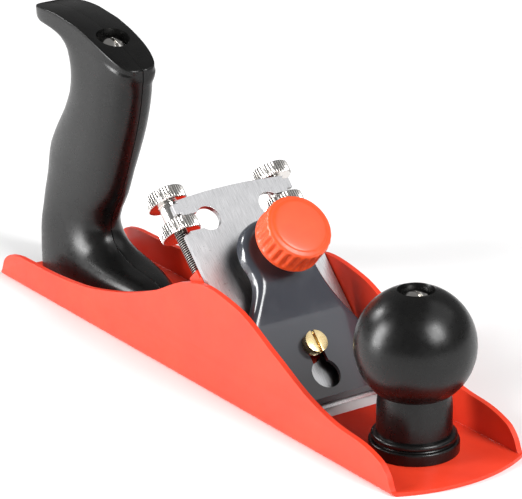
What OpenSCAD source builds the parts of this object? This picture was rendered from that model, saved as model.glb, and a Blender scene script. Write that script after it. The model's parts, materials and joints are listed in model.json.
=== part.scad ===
// Smoothing plane: pressed steel body, 45 degree bed, twin thumb wheels that feed the cutter,
// keyhole lever cap with a clamping knob, ball front knob and a two-part rear tote.
// +X points to the toe, +Z up. The origin is on the sole's face, under the middle of the whole length.

/* [Body] */
// Length over the bowed toe
body_length = 255; // [200:1:320]
// Width over the cheeks
body_width = 55; // [44:0.5:68]
// Thickness of the sole
sole_t = 1.4; // [1.2:0.1:3]
// Thickness of the cheeks
cheek_t = 2; // [1.5:0.1:3]
// Height of the cheeks beside the bed
cheek_peak_h = 39.5; // [32:0.5:48]
// Height of the cheeks at the front knob
cheek_toe_h = 13; // [10:0.5:16]
// Height of the cheeks at the heel
cheek_heel_h = 11.6; // [9:0.2:15]
// How far the toe bows forward between its corners
toe_bow = 7; // [3:0.5:9]
// Radius of the bends along the sole
bend_r = 1.6; // [1.1:0.1:2.5]

/* [Cutter] */
// Angle of the bed to the sole, in degrees
bed_angle = 45; // [43:0.5:47]
// From the cutting edge to the toe
edge_to_toe = 77; // [72:0.5:90]
// Height of the cutting edge above the sole's face when drawn back
edge_rest_h = 0.4; // [0.2:0.1:0.8]
// Clearance between the cutter and each cheek
cutter_side_gap = 0.5; // [0.3:0.1:1]
// Length of the cutter
cutter_length = 89.2; // [80:0.2:98]
// Thickness of the cutter
cutter_t = 2; // [1.6:0.1:2.4]
// Length of the ground bevel
bevel_length = 3.3; // [2.6:0.1:4]
// Width of the cutter's slot
cutter_slot_w = 11.2; // [8:0.2:13]
// Gap between the edge and the front of the mouth
mouth_gap = 8.4; // [6:0.2:10]

/* [Adjuster] */
// Diameter of the wheels' flanges
wheel_d = 15; // [12:0.2:17]
// Thickness of each flange
flange_t = 4.8; // [3.6:0.2:5.4]
// Diameter of the neck that the cutter's arm rides on
wheel_neck_d = 7.2; // [6.2:0.2:7.4]
// Diameter of the threaded studs
stud_d = 5; // [4:0.1:5.4]
// Running clearance of a thread, on the radius
thread_gap = 0.05; // [0.02:0.01:0.09]
// From the cutting edge to the frog's top end, along the bed
frog_reach = 59; // [50:0.5:60]

/* [Lever cap] */
// Height of the cap's face over the cutter at the front
cap_low_h = 5.4; // [4.6:0.1:6]
// Height of the cap's face over the cutter at its knob
cap_high_h = 11.4; // [9:0.2:13]
// Thickness of the pressed cap
cap_t = 1.6; // [1.2:0.1:2]
// Depth of the cap's turned-down edge
cap_skirt = 5; // [4:0.1:5.2]
// Radius of the cap's round end
cap_lobe_r = 14; // [13:0.2:16]
// From the cutting edge to the clamping knob, along the bed
cap_knob_v = 56.5; // [54:0.5:60]
// From the cutting edge to the cap screw, along the bed
cap_screw_v = 21.8; // [20:0.2:23]
// Radius of the keyhole's round opening
keyhole_r = 5.5; // [5.2:0.1:6]
// Width of the keyhole's slot
keyhole_slot_w = 6.4; // [5.8:0.1:7]
// From the cap screw to the middle of the keyhole's round opening
keyhole_drop = 11.2; // [10:0.1:12]
// Diameter of the cap screw's head
cap_screw_head_d = 8.4; // [8:0.1:9]
// Diameter of the clamping knob
cap_knob_d = 25; // [21:0.5:28]
// Height of the clamping knob
cap_knob_h = 12; // [10:0.5:14]
// Diameter of the clamping knob's stud
cap_stud_d = 6; // [5:0.5:7]
// Number of hollows round the clamping knob
cap_knob_flutes = 26; // [16:1:32]

/* [Front knob] */
// From the knob's axis to the toe
knob_to_toe = 31; // [28:0.5:36]
// Diameter of the ball
ball_d = 41.2; // [36:0.2:44]
// Height of the ball's middle above the inside of the sole
ball_h = 37.4; // [34:0.2:42]
// Diameter of the neck
neck_d = 25.6; // [22:0.2:28]
// Diameter of the collar at the foot
collar_d = 30.8; // [29:0.2:34]
// Height of the collar
collar_h = 6.9; // [6:0.1:9]

/* [Tote] */
// From the heel to the tote's bolt at the sole
tote_bolt_to_heel = 19.5; // [19:0.5:24]
// Lean of the tote's bolt towards the toe, in degrees
tote_lean = 12; // [10:0.5:13]
// How far the tote swells past the heel
tote_overhang = 4; // [2:0.5:6]
// Width of the gap between the tote's halves
seam_gap = 0.1; // [0.05:0.05:0.3]
// Diameter of the handle bolts
bolt_d = 6; // [5:0.5:6.5]

/* [Hidden] */
$fn = 64;

far = 400;
heel_x = (tote_overhang - body_length) / 2;
toe_x = (tote_overhang + body_length) / 2;
inner_w = body_width - 2 * cheek_t;

edge_x = toe_x - edge_to_toe;
cutter_w = inner_w - 2 * cutter_side_gap;
wheel_u = cutter_w / 2 - 2.5;
wheel_drop = cutter_t + wheel_neck_d / 2 + 0.6;
arm_h = 5.8;
throat_h = 6.4;
top_crown = 1.4;
throat_r = 4.7;
arm_v = cutter_length - top_crown - arm_h;
groove_l = arm_h + 1.7;
wheel_v = arm_v - 0.2 - flange_t;
wheel_l = 2 * flange_t + groove_l;
stud_boss_v = frog_reach + 3;
bed_gap = 0.02;

cap_front_v = 1.4;
cap_flare_v = 24;
cap_waist_v = cap_knob_v - 7;
cap_rise_v = 30;
cap_lift = 0.1;
bush_d = cap_stud_d + 4;
bush_flange_d = bush_d + 3;
cap_level_v = cap_knob_v - bush_flange_d / 2;
cap_knob_base_h = cap_high_h + 7;
head_gap = 0.05;
cap_screw_head_h = 3.2;
slot_low_v = 16.8;
slot_high_v = 48.4;

knob_x = toe_x - knob_to_toe;
ball_z = sole_t + ball_h;
ball_r = ball_d / 2;
neck_r = neck_d / 2;
boss_d = bolt_d + 6;
boss_h = 8;
pocket_gap = 0.3;
recess_r = 6.3;
screw_head_r = 4.7;
screw_head_h = 3.4;
washer_t = 0.8;
knob_recess_floor = ball_z + sqrt(pow(ball_r, 2) - pow(recess_r, 2)) - 5;

tote_bolt_x = heel_x + tote_bolt_to_heel;
tote_recess_l = 95.9;

// Smooth step from 0 at a to 1 at b
function ease(x, a, b) = let (t = min(1, max(0, (x - a) / (b - a)))) t * t * (3 - 2 * t);

// Smooth curve through stations whose first entry rises, for column c of each
function slope(p, c, i) = i <= 0 || i >= len(p) - 1 ? 0 :
    let (s0 = (p[i][c] - p[i - 1][c]) / (p[i][0] - p[i - 1][0]),
         s1 = (p[i + 1][c] - p[i][c]) / (p[i + 1][0] - p[i][0]))
    s0 * s1 <= 0 ? 0 : 2 * s0 * s1 / (s0 + s1);
function span_of(p, x, i = 0) = i >= len(p) - 2 || x < p[i + 1][0] ? i : span_of(p, x, i + 1);
function through(p, c, x) = let (i = span_of(p, x), w = p[i + 1][0] - p[i][0], t = (x - p[i][0]) / w)
    p[i][c] * (1 + 2 * t) * pow(1 - t, 2) + slope(p, c, i) * w * t * pow(1 - t, 2)
    + p[i + 1][c] * t * t * (3 - 2 * t) + slope(p, c, i + 1) * w * t * t * (t - 1);

// Height of the cheeks along the body: heel, long hollow, peak at the bed, drop to the toe
cheek_line = [
    [heel_x, sole_t],
    [heel_x + 3, cheek_heel_h * 0.62],
    [heel_x + 8, cheek_heel_h * 0.89],
    [heel_x + 17, cheek_heel_h],
    [heel_x + 33, cheek_heel_h + 0.2],
    [(heel_x + 33 + edge_x - 96.5) / 2, cheek_heel_h + 2],
    [edge_x - 96.5, cheek_heel_h + 7],
    [edge_x - 71.5, cheek_peak_h * 0.68],
    [edge_x - 50.5, cheek_peak_h * 0.93],
    [edge_x - 36.5, cheek_peak_h],
    [edge_x - 18.5, cheek_peak_h * 0.94],
    [edge_x + 3.5, cheek_peak_h * 0.7],
    [toe_x - 52, cheek_toe_h + 5],
    [toe_x - 36, cheek_toe_h + 1],
    [toe_x - toe_bow - 18, cheek_toe_h],
    [toe_x - toe_bow - 7, cheek_toe_h * 0.77],
    [toe_x - toe_bow - 3, cheek_toe_h * 0.5],
    [toe_x - toe_bow, sole_t]];

// Bed frame: X runs up the bed from the cutting edge, Z stands out of the cutter's face
module on_bed(v = 0, u = 0, h = 0) {
    translate([edge_x, 0, edge_rest_h])
        rotate([0, bed_angle, 0]) rotate([0, 0, 180]) translate([v, u, h]) children();
}
// A round bar along the bed's length
module bed_bar(d, length, v, u, h) {
    on_bed(v, u, h) rotate([0, 90, 0]) cylinder(h = length, d = d);
}
// X of a line that lies at height h over the cutter's face, at height z
function bed_line_x(h, z) = edge_x + (h - (z - edge_rest_h) * cos(bed_angle)) / sin(bed_angle);

// Section across the body: the sole, two rounded bends and the cheeks
module channel_outline() {
    difference() {
        translate([-body_width / 2, 0]) square([body_width, far]);
        translate([-inner_w / 2, sole_t]) square([inner_w, far]);
        for (s = [-1, 1]) scale([s, 1]) translate([body_width / 2 - bend_r, 0]) difference() {
            translate([0, -1]) square([bend_r + 1, bend_r + 1]);
            translate([0, bend_r]) circle(bend_r);
        }
    }
}

module plane_body() {
    steps = 110;
    rim = [for (i = [0:steps]) let (x = heel_x + (toe_x - toe_bow - heel_x) * (1 - cos(180 * i / steps)) / 2)
        [x, through(cheek_line, 1, x)]];
    color("tomato") difference() {
        intersection() {
            rotate([90, 0, 90]) translate([0, 0, heel_x]) linear_extrude(body_length) channel_outline();
            rotate([90, 0, 0]) translate([0, 0, -body_width])
                linear_extrude(2 * body_width)
                    polygon(concat([[heel_x, -1]], rim, [[toe_x, sole_t], [toe_x, -1]]));
            translate([0, 0, -1]) linear_extrude(far) toe_plan();
        }
        mouth();
        for (s = [-1, 1]) rivet_place(s) translate([0, 0, -1]) cylinder(h = sole_t + 2, d = rivet_d);
        for (s = [-1, 1]) rivet_place(s) rivet_cone(0.01);
    }
}
// Plan of the body: square at the heel, bowed at the toe
module toe_plan() {
    bow_r = (pow(body_width / 2, 2) + pow(toe_bow, 2)) / (2 * toe_bow);
    bow_a = asin(body_width / 2 / bow_r);
    bow = [for (i = [0:24]) let (a = bow_a * (1 - i / 12))
        [toe_x - bow_r + bow_r * cos(a), -bow_r * sin(a)]];
    polygon(concat([[heel_x, body_width / 2], [heel_x, -body_width / 2]], bow));
}
module mouth() {
    front_x = edge_x + mouth_gap;
    bed_clear = -cutter_t - 0.4;
    rotate([90, 0, 0]) translate([0, 0, -inner_w / 2]) linear_extrude(inner_w)
        polygon([[bed_line_x(bed_clear, -1), -1], [front_x, -1],
                 [front_x, sole_t + 1], [bed_line_x(bed_clear, sole_t + 1), sole_t + 1]]);
}

rivet_d = 5;
rivet_sink = 1;
rivet_u = inner_w / 4;
rivet_back = 44;
foot_t = 2.5;
frog_w = inner_w - 2 * 0.3;
web_t = 2.5;
bed_plate_t = 3;
module rivet_place(side) {
    translate([edge_x - rivet_back, side * rivet_u, 0]) children();
}
module rivet_cone(gap) {
    translate([0, 0, -gap])
        cylinder(h = rivet_sink + 2 * gap, d1 = rivet_d + 2.6 + 6 * gap, d2 = rivet_d);
}

// Folded frog: bed plate, foot, two side webs and the bosses that the screw and the studs need
module frog() {
    low_x = bed_line_x(-cutter_t - 0.05, sole_t);
    back_x = edge_x - rivet_back - 9;
    color("firebrick") difference() {
        intersection() {
            union() {
                on_bed(0, -frog_w / 2, -cutter_t - bed_gap - bed_plate_t)
                    cube([frog_reach, frog_w, bed_plate_t]);
                translate([back_x, -frog_w / 2, sole_t]) cube([low_x - back_x, frog_w, foot_t]);
                for (s = [-1, 1]) frog_web(s, back_x);
                on_bed(cap_screw_v, 0, -cutter_t - bed_plate_t - 6) cylinder(h = 7, d = 11);
                for (s = [-1, 1])
                    bed_bar(stud_d + 3, 15, stud_boss_v - 15, s * wheel_u, -wheel_drop);
            }
            translate([-far / 2, -frog_w / 2, sole_t]) cube([far, frog_w, far]);
            on_bed(-far / 2, -far / 2, -far) cube([far, far, far - cutter_t - bed_gap]);
        }
        for (s = [-1, 1])
            bed_bar(stud_d, 14, stud_boss_v - 13, s * wheel_u, -wheel_drop);
        on_bed(cap_screw_v, 0, -cap_screw_depth) cylinder(h = cap_screw_depth, d = stud_d);
        for (s = [-1, 1]) rivet_place(s) cylinder(h = sole_t + foot_t + 1, d = rivet_d);
    }
}
module frog_web(side, back_x) {
    top_v = frog_reach;
    top_h = -cutter_t - bed_gap;
    top_x = edge_x - top_v * cos(bed_angle) + top_h * sin(bed_angle);
    top_z = edge_rest_h + top_v * sin(bed_angle) + top_h * cos(bed_angle);
    translate([0, side * (frog_w - web_t) / 2 + web_t / 2, 0]) rotate([90, 0, 0])
        linear_extrude(web_t)
            polygon([[bed_line_x(top_h, sole_t), sole_t], [top_x, top_z],
                     [top_x - 3, top_z - 5], [back_x, sole_t + foot_t + 3], [back_x, sole_t]]);
}
module frog_rivets() {
    color("silver") for (s = [-1, 1]) rivet_place(s) {
        cylinder(h = sole_t + foot_t + 1.5, d = rivet_d);
        rivet_cone(0);
        translate([0, 0, sole_t + foot_t]) intersection() {
            cylinder(h = 2.4, d = rivet_d + 4);
            translate([0, 0, 2.4 - 6]) sphere(6);
        }
    }
}

module wheel_stud(side) {
    color([0.08, 0.08, 0.09]) bed_bar(stud_d, wheel_v + wheel_l - 3 - (stud_boss_v - 13),
        stud_boss_v - 13, side * wheel_u, -wheel_drop);
}
module left_wheel_stud() wheel_stud(-1);
module right_wheel_stud() wheel_stud(1);

// Two flanges with a neck between them, on one threaded bore
module adjuster_wheel(side) {
    chamfer = 0.5;
    r = wheel_d / 2;
    color("silver") on_bed(wheel_v, side * wheel_u, -wheel_drop) rotate([0, 90, 0])
        rotate_extrude() difference() {
            union() {
                for (z = [0, flange_t + groove_l]) translate([0, z])
                    polygon([[0, 0], [r - chamfer, 0], [r, chamfer], [r, flange_t - chamfer],
                             [r - chamfer, flange_t], [0, flange_t]]);
                square([wheel_neck_d / 2, wheel_l]);
            }
            translate([-1, -1]) square([stud_d / 2 + thread_gap + 1, wheel_l + 2]);
        }
}
module left_adjuster_wheel() adjuster_wheel(-1);
module right_adjuster_wheel() adjuster_wheel(1);

module cutter() {
    half_w = cutter_w / 2;
    throat_u = half_w - 11.7;
    throat_v = arm_v - throat_h / 2;
    crown_r = (pow(half_w, 2) + pow(top_crown, 2)) / (2 * top_crown);
    color("lightsteelblue") difference() {
        on_bed(0, 0, -cutter_t) linear_extrude(cutter_t) difference() {
            intersection() {
                translate([0, -half_w]) square([cutter_length, cutter_w]);
                translate([cutter_length - crown_r, 0]) circle(crown_r, $fn = 360);
            }
            for (s = [-1, 1]) {
                translate([throat_v, s * throat_u]) circle(throat_r);
                translate([throat_v - throat_h / 2, s > 0 ? throat_u : -half_w - 1])
                    square([throat_h, half_w - throat_u + 1]);
                arm_corner(arm_v, s * half_w, 1, s, 2.4);
                arm_corner(throat_v - throat_h / 2, s * half_w, -1, s, 2.4);
                arm_corner(cutter_length - top_crown, s * half_w, -1, s, 2.4);
            }
            translate([slot_low_v + cutter_slot_w / 2, -cutter_slot_w / 2])
                square([slot_high_v - slot_low_v - cutter_slot_w, cutter_slot_w]);
            for (v = [slot_low_v + cutter_slot_w / 2, slot_high_v - cutter_slot_w / 2])
                translate([v, 0]) circle(d = cutter_slot_w);
        }
        on_bed() rotate([0, atan(cutter_t / bevel_length), 0])
            translate([-5, -far / 2, -10]) cube([15, far, 10]);
    }
}
// Cuts a square corner at (v, u) to a round one; dv and du point out of the plate
module arm_corner(v, u, dv, du, r) {
    translate([v, u]) scale([-dv, -du]) difference() {
        translate([-1, -1]) square(r + 1);
        translate([r, r]) circle(r);
    }
}

// Half width of the cap at v, drawn in by inset: blade width, then the flare to the round end
function cap_half_w(v, inset) =
    let (flare = cutter_w / 2 - 0.4 - inset
             - (cutter_w / 2 + 0.2 - cap_lobe_r) * ease(v, cap_flare_v, cap_waist_v),
         lobe = sqrt(max(0, pow(cap_lobe_r - inset, 2) - pow(v - cap_knob_v, 2))))
    v < cap_knob_v ? max(flare, lobe) : lobe;
module cap_plan(inset) {
    n = 30;
    m = 14;
    first_v = cap_front_v + inset;
    vs = concat([for (i = [0:n - 1]) first_v + (cap_knob_v - first_v) * i / n],
                [for (i = [0:m]) cap_knob_v + (cap_lobe_r - inset) * sin(90 * i / m)]);
    right = [for (v = vs) [v, cap_half_w(v, inset)]];
    left = [for (i = [n + m - 1:-1:0]) [vs[i], -cap_half_w(vs[i], inset)]];
    polygon(concat(right, left));
}
// Side view of the cap: everything between its face lowered by "top" and lowered by "bottom"
function cap_face(v) = cap_low_h + (cap_high_h - cap_low_h) * ease(v, cap_rise_v, cap_level_v);
module cap_band(top, bottom, inset) {
    n = 30;
    end_v = cap_knob_v + cap_lobe_r + 1;
    vs = [for (i = [0:n]) cap_front_v - 1 + (end_v - cap_front_v + 1) * i / n];
    face = [for (v = vs) [v, cap_face(v) - top]];
    under = [for (i = [n:-1:0]) [vs[i], max(cap_lift - (inset > 0 ? 1 : 0), cap_face(vs[i]) - bottom)]];
    intersection() {
        rotate([90, 0, 0]) translate([0, 0, -far / 2]) linear_extrude(far) polygon(concat(face, under));
        linear_extrude(far, center = true) cap_plan(inset);
    }
}
module lever_cap() {
    hole_v = cap_screw_v - keyhole_drop;
    color([0.1, 0.1, 0.11]) on_bed() difference() {
        cap_band(0, cap_skirt, 0);
        cap_band(cap_t, far / 4, cap_t);
        translate([hole_v, 0, 0]) cylinder(h = cap_high_h, r = keyhole_r);
        translate([cap_screw_v, 0, 0]) cylinder(h = cap_high_h, d = keyhole_slot_w);
        translate([hole_v, -keyhole_slot_w / 2, 0]) cube([keyhole_drop, keyhole_slot_w, cap_high_h]);
        translate([cap_knob_v, 0, 0]) cylinder(h = cap_high_h + 1, d = bush_d);
    }
}
cap_screw_depth = cutter_t + bed_plate_t + 5;
module cap_screw() {
    head_h = cap_low_h + head_gap;
    color("gold") on_bed(cap_screw_v) difference() {
        union() {
            translate([0, 0, -cap_screw_depth]) cylinder(h = cap_screw_depth + head_h, d = stud_d);
            translate([0, 0, head_h]) cylinder(h = cap_screw_head_h, d = cap_screw_head_d);
        }
        translate([-far / 2, -0.6, head_h + cap_screw_head_h - 1.4]) cube([far, 1.2, 2]);
    }
}
module cap_bush() {
    color("silver") on_bed(cap_knob_v, 0, cap_high_h - cap_t - 3) difference() {
        union() {
            cylinder(h = cap_t + 4, d = bush_d);
            cylinder(h = 3, d = bush_flange_d);
        }
        translate([0, 0, -1]) cylinder(h = far, r = cap_stud_d / 2 + thread_gap);
    }
}
module cap_knob_stud() {
    color("silver") on_bed(cap_knob_v, 0, cap_lift)
        cylinder(h = cap_knob_base_h + cap_knob_h - 4 - cap_lift, d = cap_stud_d);
}
module cap_knob() {
    r = cap_knob_d / 2;
    edge_r = 2;
    flute_r = 1.3;
    color("coral") on_bed(cap_knob_v, 0, cap_knob_base_h) difference() {
        rotate_extrude($fn = 96) difference() {
            union() {
                square([r - edge_r, cap_knob_h]);
                square([r, cap_knob_h - edge_r]);
                translate([r - edge_r, cap_knob_h - edge_r]) circle(edge_r);
            }
            translate([-1, -1]) square([cap_stud_d / 2 + thread_gap + 1, cap_knob_h - 3]);
            translate([-far, -far / 2]) square([far, far]);
        }
        for (i = [1:cap_knob_flutes]) rotate(i * 360 / cap_knob_flutes)
            translate([r + flute_r - 0.7, 0, -1]) cylinder(h = cap_knob_h - edge_r, r = flute_r, $fn = 24);
    }
}

module front_knob() {
    color([0.13, 0.13, 0.13]) translate([knob_x, 0, 0]) difference() {
        union() {
            translate([0, 0, ball_z]) sphere(ball_r, $fn = 96);
            translate([0, 0, sole_t]) cylinder(h = ball_h - neck_r, r = neck_r);
        }
        translate([0, 0, knob_recess_floor]) cylinder(h = far, r = recess_r);
        cylinder(h = far, d = bolt_d + 0.6);
        cylinder(h = sole_t + boss_h + 0.6, d = boss_d + 2 * pocket_gap);
    }
}
module knob_collar() {
    bead_r = 1.1;
    step_r = collar_d / 2 - 0.9;
    color([0.1, 0.1, 0.1]) translate([knob_x, 0, sole_t]) rotate_extrude() difference() {
        union() {
            square([collar_d / 2, collar_h - 2 * bead_r - 0.4]);
            square([step_r, collar_h - bead_r]);
            translate([step_r - bead_r, collar_h - bead_r]) circle(bead_r);
        }
        translate([-1, -1]) square([neck_r + 0.02 + 1, collar_h + 2]);
    }
}
module threaded_boss() {
    difference() {
        cylinder(h = boss_h, d = boss_d);
        translate([0, 0, 1]) cylinder(h = boss_h, d = bolt_d);
    }
}
module knob_boss() {
    color("gray") translate([knob_x, 0, sole_t]) threaded_boss();
}
// Slotted pan head, its underside at z = 0
module pan_head() {
    dome_r = (pow(screw_head_r, 2) + pow(screw_head_h - 1.2, 2)) / (2 * (screw_head_h - 1.2));
    difference() {
        intersection() {
            cylinder(h = screw_head_h, r = screw_head_r);
            translate([0, 0, screw_head_h - dome_r]) sphere(dome_r, $fn = 96);
        }
        translate([-far / 2, -0.6, screw_head_h - 1.6]) cube([far, 1.2, 2]);
    }
}
module handle_washer() {
    difference() {
        cylinder(h = washer_t, r = recess_r - 0.3);
        translate([0, 0, -1]) cylinder(h = washer_t + 2, d = bolt_d + 0.6);
    }
}
module knob_screw() {
    color("silver") translate([knob_x, 0, 0]) {
        translate([0, 0, sole_t + 2])
            cylinder(h = knob_recess_floor + washer_t - sole_t - 2, d = bolt_d);
        translate([0, 0, knob_recess_floor + washer_t]) pan_head();
    }
}
module knob_washer() {
    color("silver") translate([knob_x, 0, knob_recess_floor]) handle_washer();
}

// Tote sections: height, back, front, half width, squareness of the back edge.
// Back and front are distances from the heel.
tote_sections = [
    [sole_t, 2 - tote_overhang, 37.6, 14.2, 2.6],
    [6, 1.2 - tote_overhang, 37, 13.9, 2.6],
    [12, 0.4 - tote_overhang, 35.8, 13, 2.6],
    [20, -tote_overhang, 33.6, 11.6, 2.6],
    [28, -tote_overhang, 36.6, 10, 2.5],
    [38, 1.6 - tote_overhang, 43.4, 9, 2.5],
    [48, -0.6, 48, 8.9, 2.5],
    [58, 5.4, 52.2, 9.5, 2.5],
    [68, 13, 56, 9.8, 2.6],
    [78, 18.2, 58.8, 9.8, 2.9],
    [86, 19.6, 60.2, 9.7, 3.6],
    [92, 18.8, 60.7, 9.6, 4.6],
    [95.5, 15.4, 60.7, 9.6, 5.4],
    [97.2, 10.4, 60.7, 9.6, 6],
    [98, 4.4, 60.7, 9.6, 6],
    [98.8, -0.6, 60.7, 9.6, 6],
    [100.6, -2.4, 60.7, 9.6, 6],
    [106, -2.8, 60.7, 9.6, 6]];
// Foot sections: distance from the heel, top, half width
foot_sections = [
    [4, 9, 11],
    [20, 13.5, 13],
    [34, 14, 12.6],
    [46, 12.6, 11.6],
    [60, 12.2, 10.8],
    [68, 11.2, 10],
    [73, 9.2, 8.8],
    [76.4, 6.4, 6.8],
    [78, 3, 4]];
// Top of the tote: distance from the heel, height
tote_top = [[-20, 103.2], [-2, 104], [12, 104.8], [22, 104.4], [32, 102.6], [45, 98.8], [60.7, 92.4], [80, 84]];

function power_of(value, p) = sign(value) * pow(abs(value), p);
// Convex skin over two rings of points
module between(ring_a, ring_b) {
    n = len(ring_a);
    hull() polyhedron(
        points = concat(ring_a, ring_b),
        faces = concat(
            [[for (i = [0:n - 1]) i]],
            [for (i = [0:n - 1]) [i, i + n, (i + 1) % n + n, (i + 1) % n]],
            [[for (i = [n - 1:-1:0]) i + n]]));
}
module stack(rings) {
    for (i = [0:len(rings) - 2]) between(rings[i], rings[i + 1]);
}
// Half of a section of the column, on one side of the seam
function column_ring(z, side) =
    let (n = 12, back = heel_x + through(tote_sections, 1, z),
         front = heel_x + through(tote_sections, 2, z), middle = (front + back) / 2,
         w = through(tote_sections, 3, z), square_n = through(tote_sections, 4, z))
    concat([[front, side * seam_gap / 2, z], [back, side * seam_gap / 2, z]],
        [for (i = [n - 1:-1:1]) let (a = 180 * i / n, e = cos(a) > 0 ? 2.5 : square_n)
            [middle + (front - back) / 2 * power_of(cos(a), 2 / e), side * w * power_of(sin(a), 2 / e), z]]);
// Half of a section of the foot
function foot_ring(x, side) =
    let (n = 7, top = through(foot_sections, 1, x), w = through(foot_sections, 2, x))
    concat([[heel_x + x, side * seam_gap / 2, sole_t]],
        [for (i = [0:n]) let (a = 90 * i / n)
            [heel_x + x, side * max(w * power_of(cos(a), 0.8), seam_gap / 2),
             sole_t + (top - sole_t) * power_of(sin(a), 0.8)]]);
module tote_solid(side) {
    levels = [sole_t, 6, 10, 15, 20, 25, 31, 38, 45, 52, 59, 66, 72, 78, 82, 86,
              90, 92, 94, 95.5, 96.6, 97.5, 98.1, 98.6, 99.2, 101, 106];
    stack([for (z = levels) column_ring(z, side)]);
    stack([for (i = [0:12]) foot_ring(4 + 74 * sin(90 * i / 12), side)]);
}
module along_tote_bolt() {
    translate([tote_bolt_x, 0, sole_t]) rotate([0, tote_lean, 0]) children();
}
module tote_half(side) {
    top = [for (i = [0:20]) let (x = -20 + 5 * i) [heel_x + x, through(tote_top, 1, x)]];
    color([0.13, 0.13, 0.13]) difference() {
        intersection() {
            tote_solid(side);
            rotate([90, 0, 0]) translate([0, 0, -far / 2]) linear_extrude(far)
                polygon(concat([[heel_x - 20, 0]], top, [[heel_x + 80, 0]]));
        }
        along_tote_bolt() {
            $fn = 32;
            translate([0, 0, -5]) cylinder(h = far, d = bolt_d + 0.6);
            translate([0, 0, tote_recess_l]) cylinder(h = far, r = recess_r);
            translate([0, 0, -5]) cylinder(h = boss_h + 5.6, d = boss_d + 2 * pocket_gap);
        }
    }
}
module tote_left_half() tote_half(1);
module tote_right_half() tote_half(-1);
module tote_boss() {
    color("gray") intersection() {
        along_tote_bolt() difference() {
            translate([0, 0, -5]) cylinder(h = boss_h + 5, d = boss_d);
            translate([0, 0, 1.5]) cylinder(h = boss_h, d = bolt_d);
        }
        translate([-far, -far, sole_t]) cube(2 * far);
    }
}
module tote_bolt() {
    color("silver") along_tote_bolt() {
        translate([0, 0, 2]) cylinder(h = tote_recess_l + washer_t - 2, d = bolt_d);
        translate([0, 0, tote_recess_l + washer_t]) pan_head();
    }
}
module tote_washer() {
    color("silver") along_tote_bolt() translate([0, 0, tote_recess_l]) handle_washer();
}

plane_body();
frog();
frog_rivets();
left_wheel_stud();
right_wheel_stud();
left_adjuster_wheel();
right_adjuster_wheel();
cutter();
lever_cap();
cap_screw();
cap_bush();
cap_knob_stud();
cap_knob();
front_knob();
knob_collar();
knob_boss();
knob_screw();
knob_washer();
tote_left_half();
tote_right_half();
tote_boss();
tote_bolt();
tote_washer();
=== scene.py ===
# Smoothing plane: detailed pieces, finishes, floor, lights and camera around the CAD frame.
import json
import math
import bmesh
import bpy
from mathutils import Matrix, Vector


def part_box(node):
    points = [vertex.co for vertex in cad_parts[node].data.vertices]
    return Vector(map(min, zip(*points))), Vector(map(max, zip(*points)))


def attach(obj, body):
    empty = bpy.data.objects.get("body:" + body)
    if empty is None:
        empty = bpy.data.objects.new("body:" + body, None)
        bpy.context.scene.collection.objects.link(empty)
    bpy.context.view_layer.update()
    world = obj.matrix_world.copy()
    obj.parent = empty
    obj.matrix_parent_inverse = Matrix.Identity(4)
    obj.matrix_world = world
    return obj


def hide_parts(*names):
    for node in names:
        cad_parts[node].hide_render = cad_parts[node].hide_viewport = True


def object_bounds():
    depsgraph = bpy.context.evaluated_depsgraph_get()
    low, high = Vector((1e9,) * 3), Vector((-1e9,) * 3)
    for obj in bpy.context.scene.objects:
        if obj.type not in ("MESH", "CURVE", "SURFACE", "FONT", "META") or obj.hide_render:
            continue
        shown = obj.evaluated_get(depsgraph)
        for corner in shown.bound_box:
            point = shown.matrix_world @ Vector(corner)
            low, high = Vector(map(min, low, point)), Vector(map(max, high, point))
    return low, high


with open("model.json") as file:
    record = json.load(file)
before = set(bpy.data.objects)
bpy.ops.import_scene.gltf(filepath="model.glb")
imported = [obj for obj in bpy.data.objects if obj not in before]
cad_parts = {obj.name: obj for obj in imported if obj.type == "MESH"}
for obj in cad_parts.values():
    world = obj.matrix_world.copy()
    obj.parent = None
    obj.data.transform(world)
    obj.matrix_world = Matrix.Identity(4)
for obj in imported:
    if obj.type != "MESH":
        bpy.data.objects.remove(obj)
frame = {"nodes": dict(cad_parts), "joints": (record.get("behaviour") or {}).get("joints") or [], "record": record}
cadBox = [list(corner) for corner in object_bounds()]
nodes = frame["nodes"]
joints = {joint["name"]: joint for joint in frame["joints"]}
mm = 0.001


def placeOf(x, y, z, origin):  # a frame from its three axes and its origin
    place = Matrix((x, y, z)).transposed().to_4x4()
    place.translation = origin
    return place


def boxIn(node, place):  # a CAD node's lowest and highest corner, measured in a turned frame
    back = place.inverted()
    points = [back @ vert.co for vert in nodes[node].data.vertices]
    return [Vector([pick(p[axis] for p in points) for axis in range(3)]) for pick in (min, max)]


# The bed's frame: X up the bed from the cutting edge, Y to the right, Z out of the cutter's face
down = Vector(joints["blade_feed"]["axis"]).normalized()
cutterLow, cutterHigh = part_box("cutter")
edge = Vector((cutterHigh.x, 0, cutterLow.z))
bed = placeOf(-down, Vector((0, -1, 0)), Vector((-down.z, 0, down.x)), edge)
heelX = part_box("plane_body")[0].x
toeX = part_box("plane_body")[1].x


# Camera
camera = {"azimuth": 55.05, "elevation": 20.54, "roll": -0.22, "lens": 216.08,
          "right": 5.41 * mm, "up": 39.69 * mm, "away": 1123.6 * mm}


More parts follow.
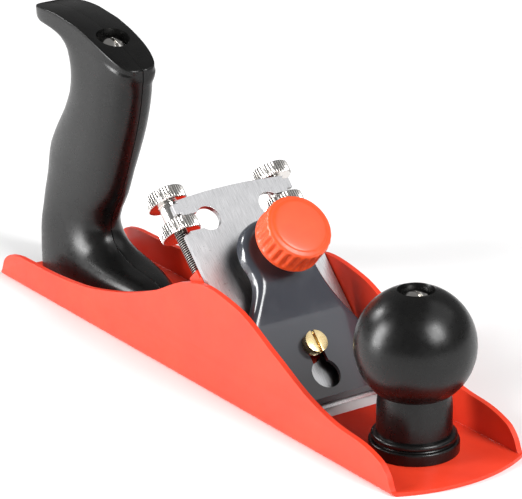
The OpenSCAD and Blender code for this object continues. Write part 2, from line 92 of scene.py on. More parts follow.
def makeCamera():
    azimuth, elevation, roll = (math.radians(camera[k]) for k in ("azimuth", "elevation", "roll"))
    back = Vector((math.sin(azimuth) * math.cos(elevation), -math.cos(azimuth) * math.cos(elevation),
                   math.sin(elevation)))
    right = Vector((math.cos(azimuth), math.sin(azimuth), 0))
    up = back.cross(right)
    right, up = (right * math.cos(roll) + up * math.sin(roll), up * math.cos(roll) - right * math.sin(roll))
    view = bpy.data.cameras.new("camera")
    view.sensor_width = 36
    view.lens = camera["lens"]
    view.clip_start = 0.05
    view.clip_end = 20
    holder = bpy.data.objects.new("camera", view)
    place = placeOf(right, up, back, right * camera["right"] + up * camera["up"] + back * camera["away"])
    holder.matrix_world = place
    bpy.context.scene.collection.objects.link(holder)
    bpy.context.scene.camera = holder


makeCamera()
print("camera placed")


# Materials. Pattern sizes are in metres, read from Object coordinates.
def newMaterial(name, color, metallic, roughness, coat=0.0, coatRoughness=0.1, ior=1.5):
    material = bpy.data.materials.new(name)
    material.use_nodes = True
    shader = material.node_tree.nodes["Principled BSDF"]
    shader.inputs["Base Color"].default_value = (*color, 1)
    shader.inputs["Metallic"].default_value = metallic
    shader.inputs["Roughness"].default_value = roughness
    shader.inputs["Coat Weight"].default_value = coat
    shader.inputs["Coat Roughness"].default_value = coatRoughness
    shader.inputs["IOR"].default_value = ior
    return material, material.node_tree, shader


def noiseOf(tree, size, detail=3.0, stretch=(1, 1, 1), turn=(0, 0, 0), attribute="Object"):
    coordinates = tree.nodes.new("ShaderNodeTexCoord")
    mapping = tree.nodes.new("ShaderNodeMapping")
    mapping.vector_type = "TEXTURE"
    mapping.inputs["Rotation"].default_value = turn
    mapping.inputs["Scale"].default_value = stretch
    noise = tree.nodes.new("ShaderNodeTexNoise")
    noise.inputs["Scale"].default_value = 1 / size
    noise.inputs["Detail"].default_value = detail
    noise.inputs["Roughness"].default_value = 0.6
    tree.links.new(coordinates.outputs[attribute], mapping.inputs["Vector"])
    tree.links.new(mapping.outputs["Vector"], noise.inputs["Vector"])
    return noise.outputs["Fac"]


def spread(tree, value, low, high, fromLow=0.3, fromHigh=0.7):  # maps a pattern to a range of numbers
    ranged = tree.nodes.new("ShaderNodeMapRange")
    ranged.inputs["From Min"].default_value = fromLow
    ranged.inputs["From Max"].default_value = fromHigh
    ranged.inputs["To Min"].default_value = low
    ranged.inputs["To Max"].default_value = high
    tree.links.new(value, ranged.inputs["Value"])
    return ranged.outputs["Result"]


def mixOf(tree, value, first, second):
    mix = tree.nodes.new("ShaderNodeMix")
    mix.data_type = "RGBA"
    mix.inputs["A"].default_value = (*first, 1)
    mix.inputs["B"].default_value = (*second, 1)
    tree.links.new(value, mix.inputs["Factor"])
    return mix.outputs["Result"]


def bumpOf(tree, shader, value, depth):
    bump = tree.nodes.new("ShaderNodeBump")
    bump.inputs["Strength"].default_value = 1
    bump.inputs["Distance"].default_value = depth
    tree.links.new(value, bump.inputs["Height"])
    tree.links.new(bump.outputs["Normal"], shader.inputs["Normal"])


def redPaint():
    material, tree, shader = newMaterial("redPaint", (0.84, 0.055, 0.026), 0, 0.34,
                                         coat=0.08, coatRoughness=0.15, ior=1.36)
    mottle = spread(tree, noiseOf(tree, 22 * mm, 2), 0, 1)
    tree.links.new(mixOf(tree, mottle, (0.86, 0.056, 0.021), (0.78, 0.045, 0.018)),
                   shader.inputs["Base Color"])
    tree.links.new(spread(tree, noiseOf(tree, 4 * mm, 3), 0.31, 0.42), shader.inputs["Roughness"])
    bumpOf(tree, shader, noiseOf(tree, 0.9 * mm, 2), 0.012 * mm)
    return material


def blackPlastic():
    material, tree, shader = newMaterial("blackPlastic", (0.006, 0.006, 0.006), 0, 0.3, ior=1.4)
    tone = spread(tree, noiseOf(tree, 9 * mm, 3), 0, 1)
    tree.links.new(mixOf(tree, tone, (0.0025, 0.0025, 0.0025), (0.005, 0.0049, 0.0046)),
                   shader.inputs["Base Color"])
    tree.links.new(spread(tree, noiseOf(tree, 2.4 * mm, 4), 0.25, 0.33), shader.inputs["Roughness"])
    bumpOf(tree, shader, noiseOf(tree, 0.35 * mm, 2), 0.006 * mm)
    return material


def blackEnamel():
    material, tree, shader = newMaterial("blackEnamel", (0.045, 0.05, 0.062), 0, 0.2,
                                         coat=0.5, coatRoughness=0.06)
    tree.links.new(spread(tree, noiseOf(tree, 5 * mm, 3), 0.16, 0.25), shader.inputs["Roughness"])
    bumpOf(tree, shader, noiseOf(tree, 1.4 * mm, 2), 0.008 * mm)
    return material


def groundSteel():
    turn = (0, math.atan2(-down.z, down.x), 0)
    material, tree, shader = newMaterial("groundSteel", (0.5, 0.5, 0.51), 1, 0.34)
    lines = noiseOf(tree, 0.22 * mm, 4, stretch=(22, 1, 1), turn=turn)
    speckle = noiseOf(tree, 0.5 * mm, 3)
    tone = spread(tree, lines, 0, 1, 0.35, 0.65)
    tree.links.new(mixOf(tree, tone, (0.4, 0.4, 0.41), (0.58, 0.58, 0.59)), shader.inputs["Base Color"])
    tree.links.new(spread(tree, speckle, 0.27, 0.44), shader.inputs["Roughness"])
    bumpOf(tree, shader, lines, 0.01 * mm)
    return material


def plated(name, color, low, high, size=1.5 * mm):
    material, tree, shader = newMaterial(name, color, 1, (low + high) / 2)
    tree.links.new(spread(tree, noiseOf(tree, size, 4), low, high), shader.inputs["Roughness"])
    bumpOf(tree, shader, noiseOf(tree, 0.6 * mm, 3), 0.004 * mm)
    return material


def brass():
    material, tree, shader = newMaterial("brass", (0.83, 0.66, 0.36), 1, 0.24)
    tone = spread(tree, noiseOf(tree, 1.2 * mm, 3), 0, 1)
    tree.links.new(mixOf(tree, tone, (0.86, 0.7, 0.4), (0.74, 0.56, 0.27)), shader.inputs["Base Color"])
    tree.links.new(spread(tree, noiseOf(tree, 0.5 * mm, 4), 0.18, 0.32), shader.inputs["Roughness"])
    return material


def blackSteel():
    material, tree, shader = newMaterial("blackSteel", (0.25, 0.25, 0.25), 1, 0.26)
    crest = tree.nodes.new("ShaderNodeAttribute")  # how near the thread's crest the skin is
    crest.attribute_name = "crest"
    # Painted highlight on the thread's crests and painted shade in its valleys, set by how near the crest the skin
    # is
    crestHighlightValleyShade = spread(tree, crest.outputs["Fac"], 0, 1, 0.45, 0.8)
    tree.links.new(mixOf(tree, crestHighlightValleyShade, (0.012, 0.012, 0.012), (0.42, 0.41, 0.39)),
                   shader.inputs["Base Color"])
    tree.links.new(spread(tree, noiseOf(tree, 0.5 * mm, 3), 0.2, 0.34), shader.inputs["Roughness"])
    return material


def orangePlastic():
    material, tree, shader = newMaterial("orangePlastic", (0.84, 0.09, 0.018), 0, 0.36,
                                         coat=0.15, coatRoughness=0.3)
    tone = spread(tree, noiseOf(tree, 6 * mm, 3), 0, 1)
    tree.links.new(mixOf(tree, tone, (0.86, 0.095, 0.02), (0.79, 0.08, 0.016)), shader.inputs["Base Color"])
    tree.links.new(spread(tree, noiseOf(tree, 1.2 * mm, 3), 0.33, 0.44), shader.inputs["Roughness"])
    bumpOf(tree, shader, noiseOf(tree, 0.4 * mm, 2), 0.008 * mm)
    return material


finishes = {"red_paint": redPaint(), "black_plastic": blackPlastic(), "black_enamel": blackEnamel(),
            "blade_steel": groundSteel(), "nickel": plated("nickel", (0.74, 0.72, 0.69), 0.12, 0.22),
            "brass": brass(), "black_steel": blackSteel(), "orange_plastic": orangePlastic(),
            "rivet_steel": plated("rivetSteel", (0.5, 0.5, 0.5), 0.3, 0.45)}
record = frame["record"]
slotOf = {part["node"]: part["material_slot"] for part in record["subparts"]}
bodyOf = {node: body for body, members in record["behaviour"]["bodies"].items() for node in members}
for nodeName, node in nodes.items():
    node.data.materials.clear()
    node.data.materials.append(finishes[slotOf[nodeName]])
print("finishes made")


# Tools for the pieces
def meshOf(name, bm):
    mesh = bpy.data.meshes.new(name)
    bm.to_mesh(mesh)
    bm.free()
    return mesh


def finishPiece(name, bm, *replaced, sharp=35, turnOut=True):
    if turnOut:
        bmesh.ops.recalc_face_normals(bm, faces=bm.faces)
    mesh = meshOf(name, bm)
    mesh.shade_smooth()
    mesh.set_sharp_from_angle(angle=math.radians(sharp))
    piece = bpy.data.objects.new(name, mesh)
    bpy.context.scene.collection.objects.link(piece)
    mesh.materials.append(finishes[slotOf[replaced[0]]])
    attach(piece, bodyOf[replaced[0]])
    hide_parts(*replaced)
    return piece


def mergedCopy(node, join=0.002 * mm, flat=1.0):
    bm = bmesh.new()
    bm.from_mesh(nodes[node].data)
    bmesh.ops.remove_doubles(bm, verts=bm.verts, dist=join)
    bmesh.ops.dissolve_limit(bm, angle_limit=math.radians(flat), verts=bm.verts, edges=bm.edges)
    return bm


def roundEdges(bm, width, segments=2, angle=35, chosen=lambda e: True):
    corner = math.radians(angle)
    edges = [e for e in bm.edges if e.is_manifold and e.calc_face_angle() > corner and chosen(e)]
    bmesh.ops.bevel(bm, geom=edges, offset=width, offset_type="OFFSET", affect="EDGES",
                    segments=segments, profile=0.5, clamp_overlap=True, material=-1)


def spunProfile(points, steps):  # a closed outline of (radius, height), turned round Z
    bm = bmesh.new()
    verts = [bm.verts.new((r, 0, z)) for r, z in points]
    edges = [bm.edges.new((verts[i], verts[(i + 1) % len(verts)])) for i in range(len(verts))]
    bmesh.ops.spin(bm, geom=verts + edges, cent=(0, 0, 0), axis=(0, 0, 1), angle=2 * math.pi, steps=steps,
                   use_merge=True, use_duplicate=False)
    bmesh.ops.remove_doubles(bm, verts=bm.verts, dist=0.001 * mm)
    return bm


def arc(cx, cz, r, start, end, count):
    return [(cx + r * math.cos(math.radians(start + (end - start) * i / count)),
             cz + r * math.sin(math.radians(start + (end - start) * i / count))) for i in range(count + 1)]


def cut(piece, cutterMesh):  # takes one closed shape away from a piece
    holder = bpy.data.objects.new("shape", cutterMesh)
    bpy.context.scene.collection.objects.link(holder)
    away = piece.modifiers.new("away", "BOOLEAN")
    away.operation = "DIFFERENCE"
    away.solver = "EXACT"
    away.object = holder
    bpy.context.view_layer.update()
    done = bpy.data.meshes.new_from_object(piece.evaluated_get(bpy.context.evaluated_depsgraph_get()))
    piece.modifiers.clear()
    piece.data = done
    bpy.data.objects.remove(holder)


def ease(x, a, b):
    t = min(1, max(0, (x - a) / (b - a)))
    return t * t * (3 - 2 * t)


def through(stations, column, x):  # smooth curve through rows whose first entry rises
    i = 0
    while i < len(stations) - 2 and x >= stations[i + 1][0]:
        i += 1

    def slope(k):
        if k <= 0 or k >= len(stations) - 1:
            return 0
        before, here, after = stations[k - 1], stations[k], stations[k + 1]
        first = (here[column] - before[column]) / (here[0] - before[0])
        second = (after[column] - here[column]) / (after[0] - here[0])
        return 0 if first * second <= 0 else 2 * first * second / (first + second)
    a, b = stations[i], stations[i + 1]
    w = b[0] - a[0]
    t = (x - a[0]) / w
    return (a[column] * (1 + 2 * t) * (1 - t) ** 2 + slope(i) * w * t * (1 - t) ** 2
            + b[column] * t * t * (3 - 2 * t) + slope(i + 1) * w * t * t * (t - 1))


# Painted body, its rims rounded
bodyShape = {"rim": 0.62 * mm, "join": 0.25 * mm, "flat": 0.3, "edgeAngle": 50}
bm = mergedCopy("plane_body", bodyShape["join"], bodyShape["flat"])
roundEdges(bm, bodyShape["rim"], 3, bodyShape["edgeAngle"])
finishPiece("channel_body", bm, "plane_body", sharp=12, turnOut=False)
print("body made")


# Cutter, its edges softened a little and its cutting edge left sharp
cutterShape = {"edge": 0.14 * mm, "keptSharp": 3 * mm}
bm = mergedCopy("cutter")
sharpBelow = edge.z + cutterShape["keptSharp"]
roundEdges(bm, cutterShape["edge"], 2, 40, lambda e: min(v.co.z for v in e.verts) > sharpBelow)
finishPiece("ground_cutter", bm, "cutter", sharp=10, turnOut=False)
print("cutter made")


# Adjuster wheels: two knurled flanges and a neck
wheelShape = {"teeth": 44, "depth": 0.42 * mm, "steps": 352, "neck": 3.6 * mm, "flange": 4.8 * mm,
              "bore": 2.55 * mm, "chamfer": 0.45 * mm, "land": 0.5 * mm, "fall": 0.08 * mm,
              "corner": 0.3 * mm}


def wheelPlace(side):  # Z along the stud, towards the wheel's free end
    across = Vector((0, 1, 0))
    return placeOf(across, -down.cross(across), -down, Vector(joints[side + "_wheel_turn"]["pos_m"]))


def flangeOutline(r, bottom, top):  # the rim of one flange, from its lower face to its upper one
    c, land, fall = wheelShape["chamfer"], wheelShape["land"], wheelShape["fall"]
    return [(r - c - land, bottom), (r - c, bottom + fall), (r, bottom + c), (r, top - c),
            (r - c, top - fall), (r - c - land, top)]


def adjusterWheel(side):
    place = wheelPlace(side)
    low, high = boxIn(side + "_adjuster_wheel", place)
    r, bottom, top = high.x, low.z, high.z
    neck, flange, bore, corner = (wheelShape[key] for key in ("neck", "flange", "bore", "corner"))
    outline = [(bore, bottom + corner), (bore + corner, bottom)]
    outline += flangeOutline(r, bottom, bottom + flange)
    outline += [(neck + corner, bottom + flange), (neck, bottom + flange + corner),
                (neck, top - flange - corner), (neck + corner, top - flange)]
    outline += flangeOutline(r, top - flange, top)
    outline += [(bore + corner, top), (bore, top - corner)]
    bm = spunProfile(outline, wheelShape["steps"])
    for vert in bm.verts:
        radius = vert.co.xy.length
        if radius > r - 0.02 * mm:
            turn = math.atan2(vert.co.y, vert.co.x) / (2 * math.pi) * wheelShape["teeth"]
            fall = wheelShape["depth"] * (0.5 + 0.5 * math.cos(2 * math.pi * turn)) ** 1.2
            vert.co.xy *= (radius - fall) / radius
    bmesh.ops.transform(bm, matrix=place, verts=bm.verts)
    finishPiece(side + "_knurled_wheel", bm, side + "_adjuster_wheel", sharp=30)


# Wheel studs with a fine helical thread
threadShape = {"pitch": 0.8 * mm, "depth": 0.36 * mm, "around": 28, "perTurn": 8}


def threadedStud(side):
    place = wheelPlace(side)
    low, high = boxIn(side + "_wheel_stud", place)
    r, length = high.x, high.z - low.z
    rings = round(length / threadShape["pitch"] * threadShape["perTurn"])
    bm = bmesh.new()
    bmesh.ops.create_circle(bm, cap_ends=False, radius=r, segments=threadShape["around"])
    bmesh.ops.translate(bm, verts=bm.verts, vec=(0, 0, low.z))
    edges = list(bm.edges)
    firstRing = list(bm.edges)
    for ring in range(rings):
        grown = bmesh.ops.extrude_edge_only(bm, edges=edges)["geom"]
        bmesh.ops.translate(bm, verts=[g for g in grown if isinstance(g, bmesh.types.BMVert)],
                            vec=(0, 0, length / rings))
        edges = [g for g in grown if isinstance(g, bmesh.types.BMEdge)]
    bmesh.ops.holes_fill(bm, edges=firstRing + edges, sides=0)
    crest = bm.verts.layers.float.new("crest")
    for vert in bm.verts:
        turn = math.atan2(vert.co.y, vert.co.x) / (2 * math.pi)
        phase = ((vert.co.z - low.z) / threadShape["pitch"] - turn) % 1
        vert[crest] = 1 - abs(2 * phase - 1)
        vert.co.xy *= 1 - threadShape["depth"] / r * abs(2 * phase - 1)
    bmesh.ops.transform(bm, matrix=place, verts=bm.verts)
    finishPiece(side + "_threaded_stud", bm, side + "_wheel_stud", sharp=60)


for side in ("left", "right"):
    adjusterWheel(side)
    threadedStud(side)
print("wheels and studs made")


# Lever cap: pressed plate with rolled edges, a flare to its round end and a keyhole
capLow, capHigh = boxIn("lever_cap", bed)
capShape = {"front": capLow.x, "end": capHigh.x, "halfWidth": capHigh.y, "lobe": 14 * mm, "wall": 1.5 * mm,
            "roll": 3.8 * mm, "frontRoll": 0.9 * mm, "low": 5.4 * mm, "high": capHigh.z,
            "rise": (30 * mm, 50 * mm), "flare": (24 * mm, 49.5 * mm), "skirt": 4.6 * mm,
            "waist": 0.6 * mm, "rows": 76, "across": 36}


def capHalfWidth(v):
    shape = capShape
    knobV = shape["end"] - shape["lobe"]
    narrowing = shape["halfWidth"] + shape["waist"] - shape["lobe"]
    flare = shape["halfWidth"] - narrowing * ease(v, *shape["flare"])
    lobe = math.sqrt(max(0, shape["lobe"] ** 2 - (v - knobV) ** 2))
    return max(flare, lobe) if v < knobV else lobe


def capFace(v):  # height of the cap's face over the cutter
    return capShape["low"] + (capShape["high"] - capShape["low"]) * ease(v, *capShape["rise"])


def rolled(gap, roll, skirt):  # how far the skin has dropped at a distance in from the edge
    if gap >= roll:
        return 0
    return skirt * (1 - math.sqrt(max(0, 1 - (1 - gap / roll) ** 2.4)))


def leverCap():
    shape = capShape
    knobV = shape["end"] - shape["lobe"]
    bm = bmesh.new()
    bmesh.ops.create_grid(bm, x_segments=shape["rows"], y_segments=shape["across"], size=1)
    for vert in bm.verts:
        s, t = (vert.co.x + 1) / 2, vert.co.y
        s = s if s < 0.5 else 0.5 + 0.5 * math.sin(math.pi * (s - 0.5))
        v = shape["front"] + (shape["end"] - shape["front"]) * s
        t = math.sin(math.pi / 2 * t) * 0.35 + t * 0.65
        half = capHalfWidth(v)
        u = half * t
        side = half * (1 - abs(t))
        if v > knobV:
            side = min(side, shape["lobe"] - math.hypot(v - knobV, u))
        ahead = v - shape["front"]
        drop = max(rolled(side, shape["roll"], shape["skirt"]),
                   rolled(ahead, shape["frontRoll"], shape["skirt"] * 0.9))
        vert.co = (v, u, capFace(v) - drop)
    bmesh.ops.remove_doubles(bm, verts=bm.verts, dist=0.02 * mm)
    bmesh.ops.recalc_face_normals(bm, faces=bm.faces)
    if sum(f.normal.z * f.calc_area() for f in bm.faces) < 0:
        bmesh.ops.reverse_faces(bm, faces=bm.faces)
    bmesh.ops.solidify(bm, geom=list(bm.faces), thickness=shape["wall"])
    low = capLow.z
    for vert in bm.verts:
        vert.co.z = max(vert.co.z, low)
    return bm


bm = leverCap()
bmesh.ops.transform(bm, matrix=bed, verts=bm.verts)
lever = finishPiece("pressed_lever_cap", bm, "lever_cap", sharp=40)


keyholeShape = {"drop": 11.2 * mm, "round": 5.5 * mm, "slot": 3.2 * mm, "steps": 20, "deep": 15 * mm}


def keyhole():  # the round opening and its slot up to the screw, as one closed shape
    shape = keyholeShape
    screwLow, screwHigh = boxIn("cap_screw", bed)
    screwV = (screwLow.x + screwHigh.x) / 2
    holeV, steps = screwV - shape["drop"], shape["steps"]
    reach = math.degrees(math.asin(shape["slot"] / shape["round"]))
    ring = arc(holeV, 0, shape["round"], reach, 360 - reach, 2 * steps)
    ring += arc(screwV, 0, shape["slot"], -90, 90, steps)
    bm = bmesh.new()
    face = bm.faces.new([bm.verts.new((v, u, -1 * mm)) for v, u in ring])
    raised = bmesh.ops.extrude_face_region(bm, geom=[face])["geom"]
    raisedVerts = [g for g in raised if isinstance(g, bmesh.types.BMVert)]
    bmesh.ops.translate(bm, verts=raisedVerts, vec=(0, 0, shape["deep"]))
    bmesh.ops.recalc_face_normals(bm, faces=bm.faces)
    bmesh.ops.transform(bm, matrix=bed, verts=bm.verts)
    return meshOf("keyhole", bm)


cut(lever, keyhole())
print("lever cap made")


# Clamping knob: domed, with finger hollows and a fine ring round its face
knobLow, knobHigh = boxIn("cap_knob", bed)
knobShape = {"flutes": 26, "depth": 0.75 * mm, "dome": 0.5 * mm, "edge": 1.7 * mm, "bore": 3.05 * mm,
             "ringIn": 2.5 * mm, "ringDepth": 0.2 * mm, "bead": 2 * mm, "step": 0.1 * mm, "top": 3 * mm,
             "steps": 208}


def domeArc(r, foot, rise):  # a flat dome's curve, between its rim and its middle
    turns = [math.pi / 2 * i / 10 for i in range(1, 10)]
    return [(r * math.cos(turn), foot + rise * math.sin(turn)) for turn in turns]


def clampKnob():
    shape = knobShape
    r = (knobHigh.x - knobLow.x) / 2
    tall = knobHigh.z - knobLow.z
    bore, e, bead, side = shape["bore"], shape["edge"], shape["bead"], r - shape["step"]
    shoulder = tall - shape["dome"] - 0.5 * mm
    outline = [(bore, 0), (r - 1.1 * mm, 0), (r - 0.35 * mm, 0.25 * mm), (r, 0.9 * mm), (r, 1.7 * mm)]
    outline += [(side, bead + (shoulder - e - 0.2 * mm - bead) * i / 4) for i in range(5)]
    outline += arc(side - e, shoulder - e, e, 0, 78, 6)
    ringR = r - shape["ringIn"]
    ringZ = shoulder + shape["ringDepth"] + 0.02 * mm
    outline += [(ringR + 0.25 * mm, shoulder + 0.02 * mm), (ringR, ringZ)]
    outline += domeArc(ringR, ringZ, tall - ringZ)
    outline += [(0, tall), (0, tall - shape["top"]), (bore, tall - shape["top"])]
    bm = spunProfile(outline, shape["steps"])
    for vert in bm.verts:
        radius = vert.co.xy.length
        if radius > r - 1.5 * mm and vert.co.z > 1.9 * mm:
            turn = math.atan2(vert.co.y, vert.co.x) / (2 * math.pi) * shape["flutes"]
            start = ease(vert.co.z, 1.8 * mm, 2.6 * mm)
            share = start * (1 - ease(vert.co.z, tall - 3.4 * mm, tall - 1.4 * mm))
            fall = shape["depth"] * (0.5 + 0.5 * math.cos(2 * math.pi * turn)) ** 1.3 * share
            vert.co.xy *= (radius - fall) / radius
    centre = Vector(((knobLow.x + knobHigh.x) / 2, (knobLow.y + knobHigh.y) / 2, knobLow.z))
    bmesh.ops.transform(bm, matrix=bed @ Matrix.Translation(centre), verts=bm.verts)
    finishPiece("clamp_knob_head", bm, "cap_knob", sharp=50)


clampKnob()
print("clamping knob made")


# Front knob: ball, neck with a crease under the ball, screw recess and the stepped collar
ballLow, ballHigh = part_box("front_knob")
collarLow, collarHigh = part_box("knob_collar")
frontShape = {"neck": 12.8 * mm, "recess": 6.3 * mm, "bore": 3.3 * mm, "pocket": (6.3 * mm, 8.6 * mm),
              "crease": 0.5 * mm, "steps": 128}
collarShape = {"gap": 0.02 * mm, "foot": 3.3 * mm, "shoulder": 0.7 * mm, "bead": 1.15 * mm,
               "beadIn": 2.0 * mm, "corner": 0.3 * mm,
               "groove": [(1.35 * mm, 2.55 * mm), (1.5 * mm, 2.3 * mm)]}  # in from the side, below the top


def frontKnob():
    shape = frontShape
    r = (ballHigh.x - ballLow.x) / 2
    foot = ballLow.z
    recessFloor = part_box("knob_washer")[0].z
    neck, recess, bore = shape["neck"], shape["recess"], shape["bore"]
    pocketR, pocketH = shape["pocket"]
    ballZ = ballHigh.z - math.sqrt(r * r - recess ** 2)
    neckAngle = -math.degrees(math.acos(neck / r))
    rimAngle = math.degrees(math.acos(recess / r))
    neckTop = ballZ + r * math.sin(math.radians(neckAngle))
    rimZ = ballZ + r * math.sin(math.radians(rimAngle))
    outline = [(pocketR, foot), (neck, foot)]
    outline += [(neck, foot + (neckTop - foot) * i / 4) for i in range(1, 4)]
    outline += [(neck - shape["crease"], neckTop - 0.2 * mm)]
    outline += arc(0, ballZ, r, neckAngle + 1, rimAngle - 1.2, 60)
    outline += [(recess + 0.15 * mm, rimZ + 0.02 * mm), (recess, rimZ - 0.25 * mm), (recess, recessFloor),
                (bore, recessFloor), (bore, foot + pocketH), (pocketR, foot + pocketH)]
    bm = spunProfile(outline, shape["steps"])
    bmesh.ops.translate(bm, verts=bm.verts, vec=((ballLow.x + ballHigh.x) / 2, 0, 0))
    finishPiece("ball_knob", bm, "front_knob", sharp=40)


def collar():
    shape = collarShape
    r = (collarHigh.x - collarLow.x) / 2
    foot, top = collarLow.z, collarHigh.z
    inner = frontShape["neck"] + shape["gap"]
    shoulder, bead, corner = shape["shoulder"], shape["bead"], shape["corner"]
    outline = [(inner, foot), (r - corner, foot), (r, foot + corner), (r, top - shape["foot"])]
    outline += arc(r - shoulder, top - shape["foot"], shoulder, 0, 90, 6)
    outline += [(r - inward, top - below) for inward, below in shape["groove"]]
    outline += arc(r - shape["beadIn"], top - bead, bead, -60, 90, 12)
    outline += [(inner, top)]
    bm = spunProfile([(max(x, inner), z) for x, z in outline], frontShape["steps"])
    bmesh.ops.translate(bm, verts=bm.verts, vec=((collarLow.x + collarHigh.x) / 2, 0, 0))
    finishPiece("stepped_collar", bm, "knob_collar", sharp=40)


frontKnob()
collar()
print("front knob made")


# Screws with softened slots
screwShape = {"cap_screw": 0.22 * mm, "knob_screw": 0.2 * mm, "tote_bolt": 0.2 * mm}
for nodeName, width in screwShape.items():
    bm = mergedCopy(nodeName, 0.004 * mm, 0.3)
    roundEdges(bm, width, 2, 38)
    finishPiece(nodeName + "_softened", bm, nodeName, turnOut=False, sharp=45)
print("screws made")


# Tote: two moulded halves on one side view. Heights and distances from the heel, in mm.
toteShape = {
    "columns": [  # height, back, front, half width, squareness of the back
        [0, -2.2, 47, 14.2, 2.6], [6, -2.8, 46, 13.9, 2.6], [12, -3.6, 42, 13, 2.6],
        [16, -3.9, 37.4, 12.3, 2.6], [20, -4, 34.8, 11.6, 2.6], [28, -4, 36.8, 10, 2.5],
        [38, -2.4, 43.4, 9, 2.5], [48, -0.6, 48, 8.9, 2.5], [58, 5.4, 52.2, 9.5, 2.5],
        [68, 13, 56, 9.8, 2.6], [78, 18.2, 58.8, 9.8, 2.9], [86, 19.6, 60.2, 9.7, 3.6],
        [92, 18.8, 60.7, 9.6, 4.6], [95.5, 15.4, 60.7, 9.6, 5.4], [97.2, 10.4, 60.7, 9.6, 6],
        [98, 4.4, 60.7, 9.6, 6], [98.8, -0.6, 60.7, 9.6, 6], [100.6, -2.4, 60.7, 9.6, 6],
        [106, -2.8, 60.7, 9.6, 6]],
    "top": [  # distance from the heel, height
        [-20, 103.2], [-2, 104], [12, 104.8], [22, 104.4], [32, 102.6], [45, 98.8], [60.7, 92.4], [80, 84]],
    "fronts": [  # where the foot's rows end: distance from the heel, height
        (77.9, 1.4), (77.6, 3.6), (76.3, 6.3), (73.2, 8.9), (68, 10.9), (60.5, 12.1), (53, 12.9),
        (46.6, 14.2), (41.6, 16.4), (38.2, 19.4), (36.6, 22.8), (36.6, 26.4)],
    "backs": [1.4, 2.8, 4.6, 6.6, 8.8, 11, 13.4, 16, 18.8, 21.8, 25, 28.2],  # their heights at the heel
    "levels": [31.6, 35, 38.6, 42.4, 46.4, 50.4, 54.6, 58.8, 63, 67, 71, 75, 79, 82.5, 86],
    "shares": [0.18, 0.34, 0.46, 0.55, 0.6, 0.64, 0.67, 0.7, 0.73, 0.77, 0.83, 0.91],
    "headFoot": 86, "headRise": 18.2,  # the head's rows fan out from here up to the top
    "footPower": 2.3, "power": 2.5, "headPower": 1.1,
    "across": 48, "groove": (0.14, 0.3),  # half width and depth of the seam
    "rim": [(0.4, 0), (0.12, 0.12), (0, 0.4)]}  # fall and inset of the top edge's rows
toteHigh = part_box("tote_left_half")[1].z
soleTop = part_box("tote_left_half")[0].z


def toteRow(z, front=None):  # one row round the tote, from its back at height z to its front
    shape = toteShape
    back, ahead, wide, square = (through(shape["columns"], column, z) for column in (1, 2, 3, 4))
    x, height = front or (ahead, z)
    widest = 0.5 * (ahead - back) / (x - back) if front else 0.5
    return {"back": (back, z), "front": (x, height), "wide": wide, "widest": min(0.5, widest),
            "frontPower": shape["footPower"] if front else shape["power"], "backPower": square,
            "share": 0, "drop": 0}


def toteRows():
    shape = toteShape
    rows = [toteRow(back, front) for back, front in zip(shape["backs"], shape["fronts"])]
    rows += [toteRow(z) for z in shape["levels"]]
    head = [(share, 0, 0) for share in shape["shares"]]
    for share, drop, inset in head + [(1, drop, inset) for drop, inset in shape["rim"]]:
        row = toteRow(shape["headFoot"] + shape["headRise"] * share)
        row.update(share=share, drop=drop)
        row["frontPower"] = shape["power"] + min(1, share / 0.6) * shape["headPower"]
        row["back"] = (row["back"][0] + inset, row["back"][1])
        row["front"] = (row["front"][0] - inset, row["front"][1])
        row["wide"] -= inset
        rows.append(row)
    return rows


def toteHalf(side, name, node):
    shape = toteShape
    rows = toteRows()
    count, across, headFoot = len(rows), shape["across"], shape["headFoot"]
    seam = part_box(node)[0 if side > 0 else 1].y
    lip, sunk = shape["groove"]
    bm = bmesh.new()
    bmesh.ops.create_grid(bm, x_segments=count + 1, y_segments=across, size=1)
    for vert in bm.verts:
        index = round((vert.co.x + 1) / 2 * (count + 1)) - 1
        step = round((vert.co.y + 1) / 2 * across)
        row = rows[min(max(index, 0), count - 1)]
        (backX, backZ), (frontX, frontZ), widest = row["back"], row["front"], row["widest"]
        bend = math.cos(math.pi * min(max(step - 1, 0), across - 2) / (across - 2))
        power = row["frontPower"] if bend < 0 else row["backPower"]
        reach = math.copysign(abs(bend) ** (2 / power), bend)
        t = widest * (1 - reach) if reach > 0 else widest - (1 - widest) * reach
        x = backX + (frontX - backX) * t
        y = max(lip, row["wide"] * max(0, 1 - abs(reach) ** power) ** (1 / power))
        z = backZ + (frontZ - backZ) * t
        if row["share"]:
            z = headFoot + (through(shape["top"], 1, x) - headFoot) * row["share"] - row["drop"]
        if step in (0, across) or index in (-1, count):  # the seam's face, sunk behind the groove
            y = 0
            x = min(max(x, backX + sunk), frontX - sunk)
        if index == count:
            z -= sunk
        vert.co = (heelX + x * mm, seam + side * y * mm, min(max(z * mm, soleTop), toteHigh))
    bmesh.ops.remove_doubles(bm, verts=bm.verts, dist=0.004 * mm)
    bmesh.ops.contextual_create(bm, geom=[e for e in bm.edges if e.is_boundary])
    return finishPiece(name, bm, node, sharp=55)


toteBore = {"bolt": 3.3 * mm, "pocket": 6.3 * mm, "pocketTop": 5 * mm, "recess": 6.3 * mm,
            "below": 20 * mm, "above": 40 * mm, "steps": 48}


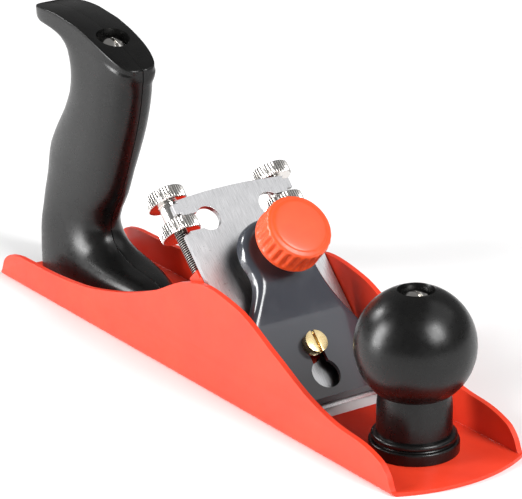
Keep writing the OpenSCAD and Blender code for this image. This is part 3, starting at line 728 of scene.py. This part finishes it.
def toteBoltSpace():  # the bolt's bore, its recess and the boss's pocket as one turned shape
    shape = toteBore
    washerMid = sum(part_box("tote_washer"), Vector()) / 2
    bossMid = sum(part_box("tote_boss"), Vector()) / 2
    lean = (washerMid - bossMid).normalized()
    along = (washerMid - bossMid).length
    recessFloor = along - 0.4 * mm
    outline = [(0, -shape["below"]), (shape["pocket"], -shape["below"]),
               (shape["pocket"], shape["pocketTop"]), (shape["bolt"], shape["pocketTop"]),
               (shape["bolt"], recessFloor), (shape["recess"], recessFloor),
               (shape["recess"], along + shape["above"]), (0, along + shape["above"])]
    bm = spunProfile(outline, shape["steps"])
    across = Vector((0, 1, 0))
    bmesh.ops.transform(bm, matrix=placeOf(across.cross(lean), across, lean, bossMid), verts=bm.verts)
    bmesh.ops.recalc_face_normals(bm, faces=bm.faces)
    return meshOf("toteBore", bm)


for side, hand in ((1, "left"), (-1, "right")):
    cut(toteHalf(side, hand + "_tote_shell", "tote_" + hand + "_half"), toteBoltSpace())
print("tote made")


# Floor, light and background
stageShape = {"floor": 6.0, "floorColor": (0.96, 0.96, 0.96), "world": (1, 1, 1), "worldStrength": 0.2}


def makeStage():
    bm = bmesh.new()
    bmesh.ops.create_grid(bm, x_segments=1, y_segments=1, size=stageShape["floor"])
    bmesh.ops.translate(bm, verts=bm.verts, vec=(0, 0, cadBox[0][2] - 0.05 * mm))
    mesh = meshOf("floor", bm)
    floor = bpy.data.objects.new("floor", mesh)
    bpy.context.scene.collection.objects.link(floor)
    material, tree, shader = newMaterial("paleFloor", stageShape["floorColor"], 0, 0.6)
    tree.links.new(spread(tree, noiseOf(tree, 0.2, 2), 0.55, 0.65), shader.inputs["Roughness"])
    mesh.materials.append(material)
    world = bpy.data.worlds.new("world")
    world.use_nodes = True
    world.node_tree.nodes["Background"].inputs["Color"].default_value = (*stageShape["world"], 1)
    world.node_tree.nodes["Background"].inputs["Strength"].default_value = stageShape["worldStrength"]
    bpy.context.scene.world = world


def makeLight(name, place, target, wide, tall, power):
    lamp = bpy.data.lights.new(name, "AREA")
    lamp.shape = "RECTANGLE"
    lamp.size = wide
    lamp.size_y = tall
    lamp.energy = power
    holder = bpy.data.objects.new(name, lamp)
    turn = (Vector(place) - Vector(target)).to_track_quat("Z", "Y").to_matrix().to_4x4()
    holder.matrix_world = Matrix.Translation(place) @ turn
    bpy.context.scene.collection.objects.link(holder)


makeStage()
lights = {  # place, aim, width, height, power
    "leftSoftbox": ((-0.94, -2.06, 0.82), (0, 0, 0.04), 0.75, 1.5, 74),
    "rimLight": ((-1.85, -0.85, 1.3), (0, 0, 0.04), 0.5, 0.5, 18),
    "rightSoftbox": ((1.9, 0.38, 1.44), (0, 0, 0.04), 1.0, 1.1, 56),
    "backPanel": ((1.0, 1.5, 2.2), (0, 0, 0.04), 2.6, 1.8, 13)}
for name, (place, aim, wide, tall, power) in lights.items():
    makeLight(name, place, aim, wide, tall, power)
bpy.context.scene.view_settings.view_transform = "Standard"
print("stage made")
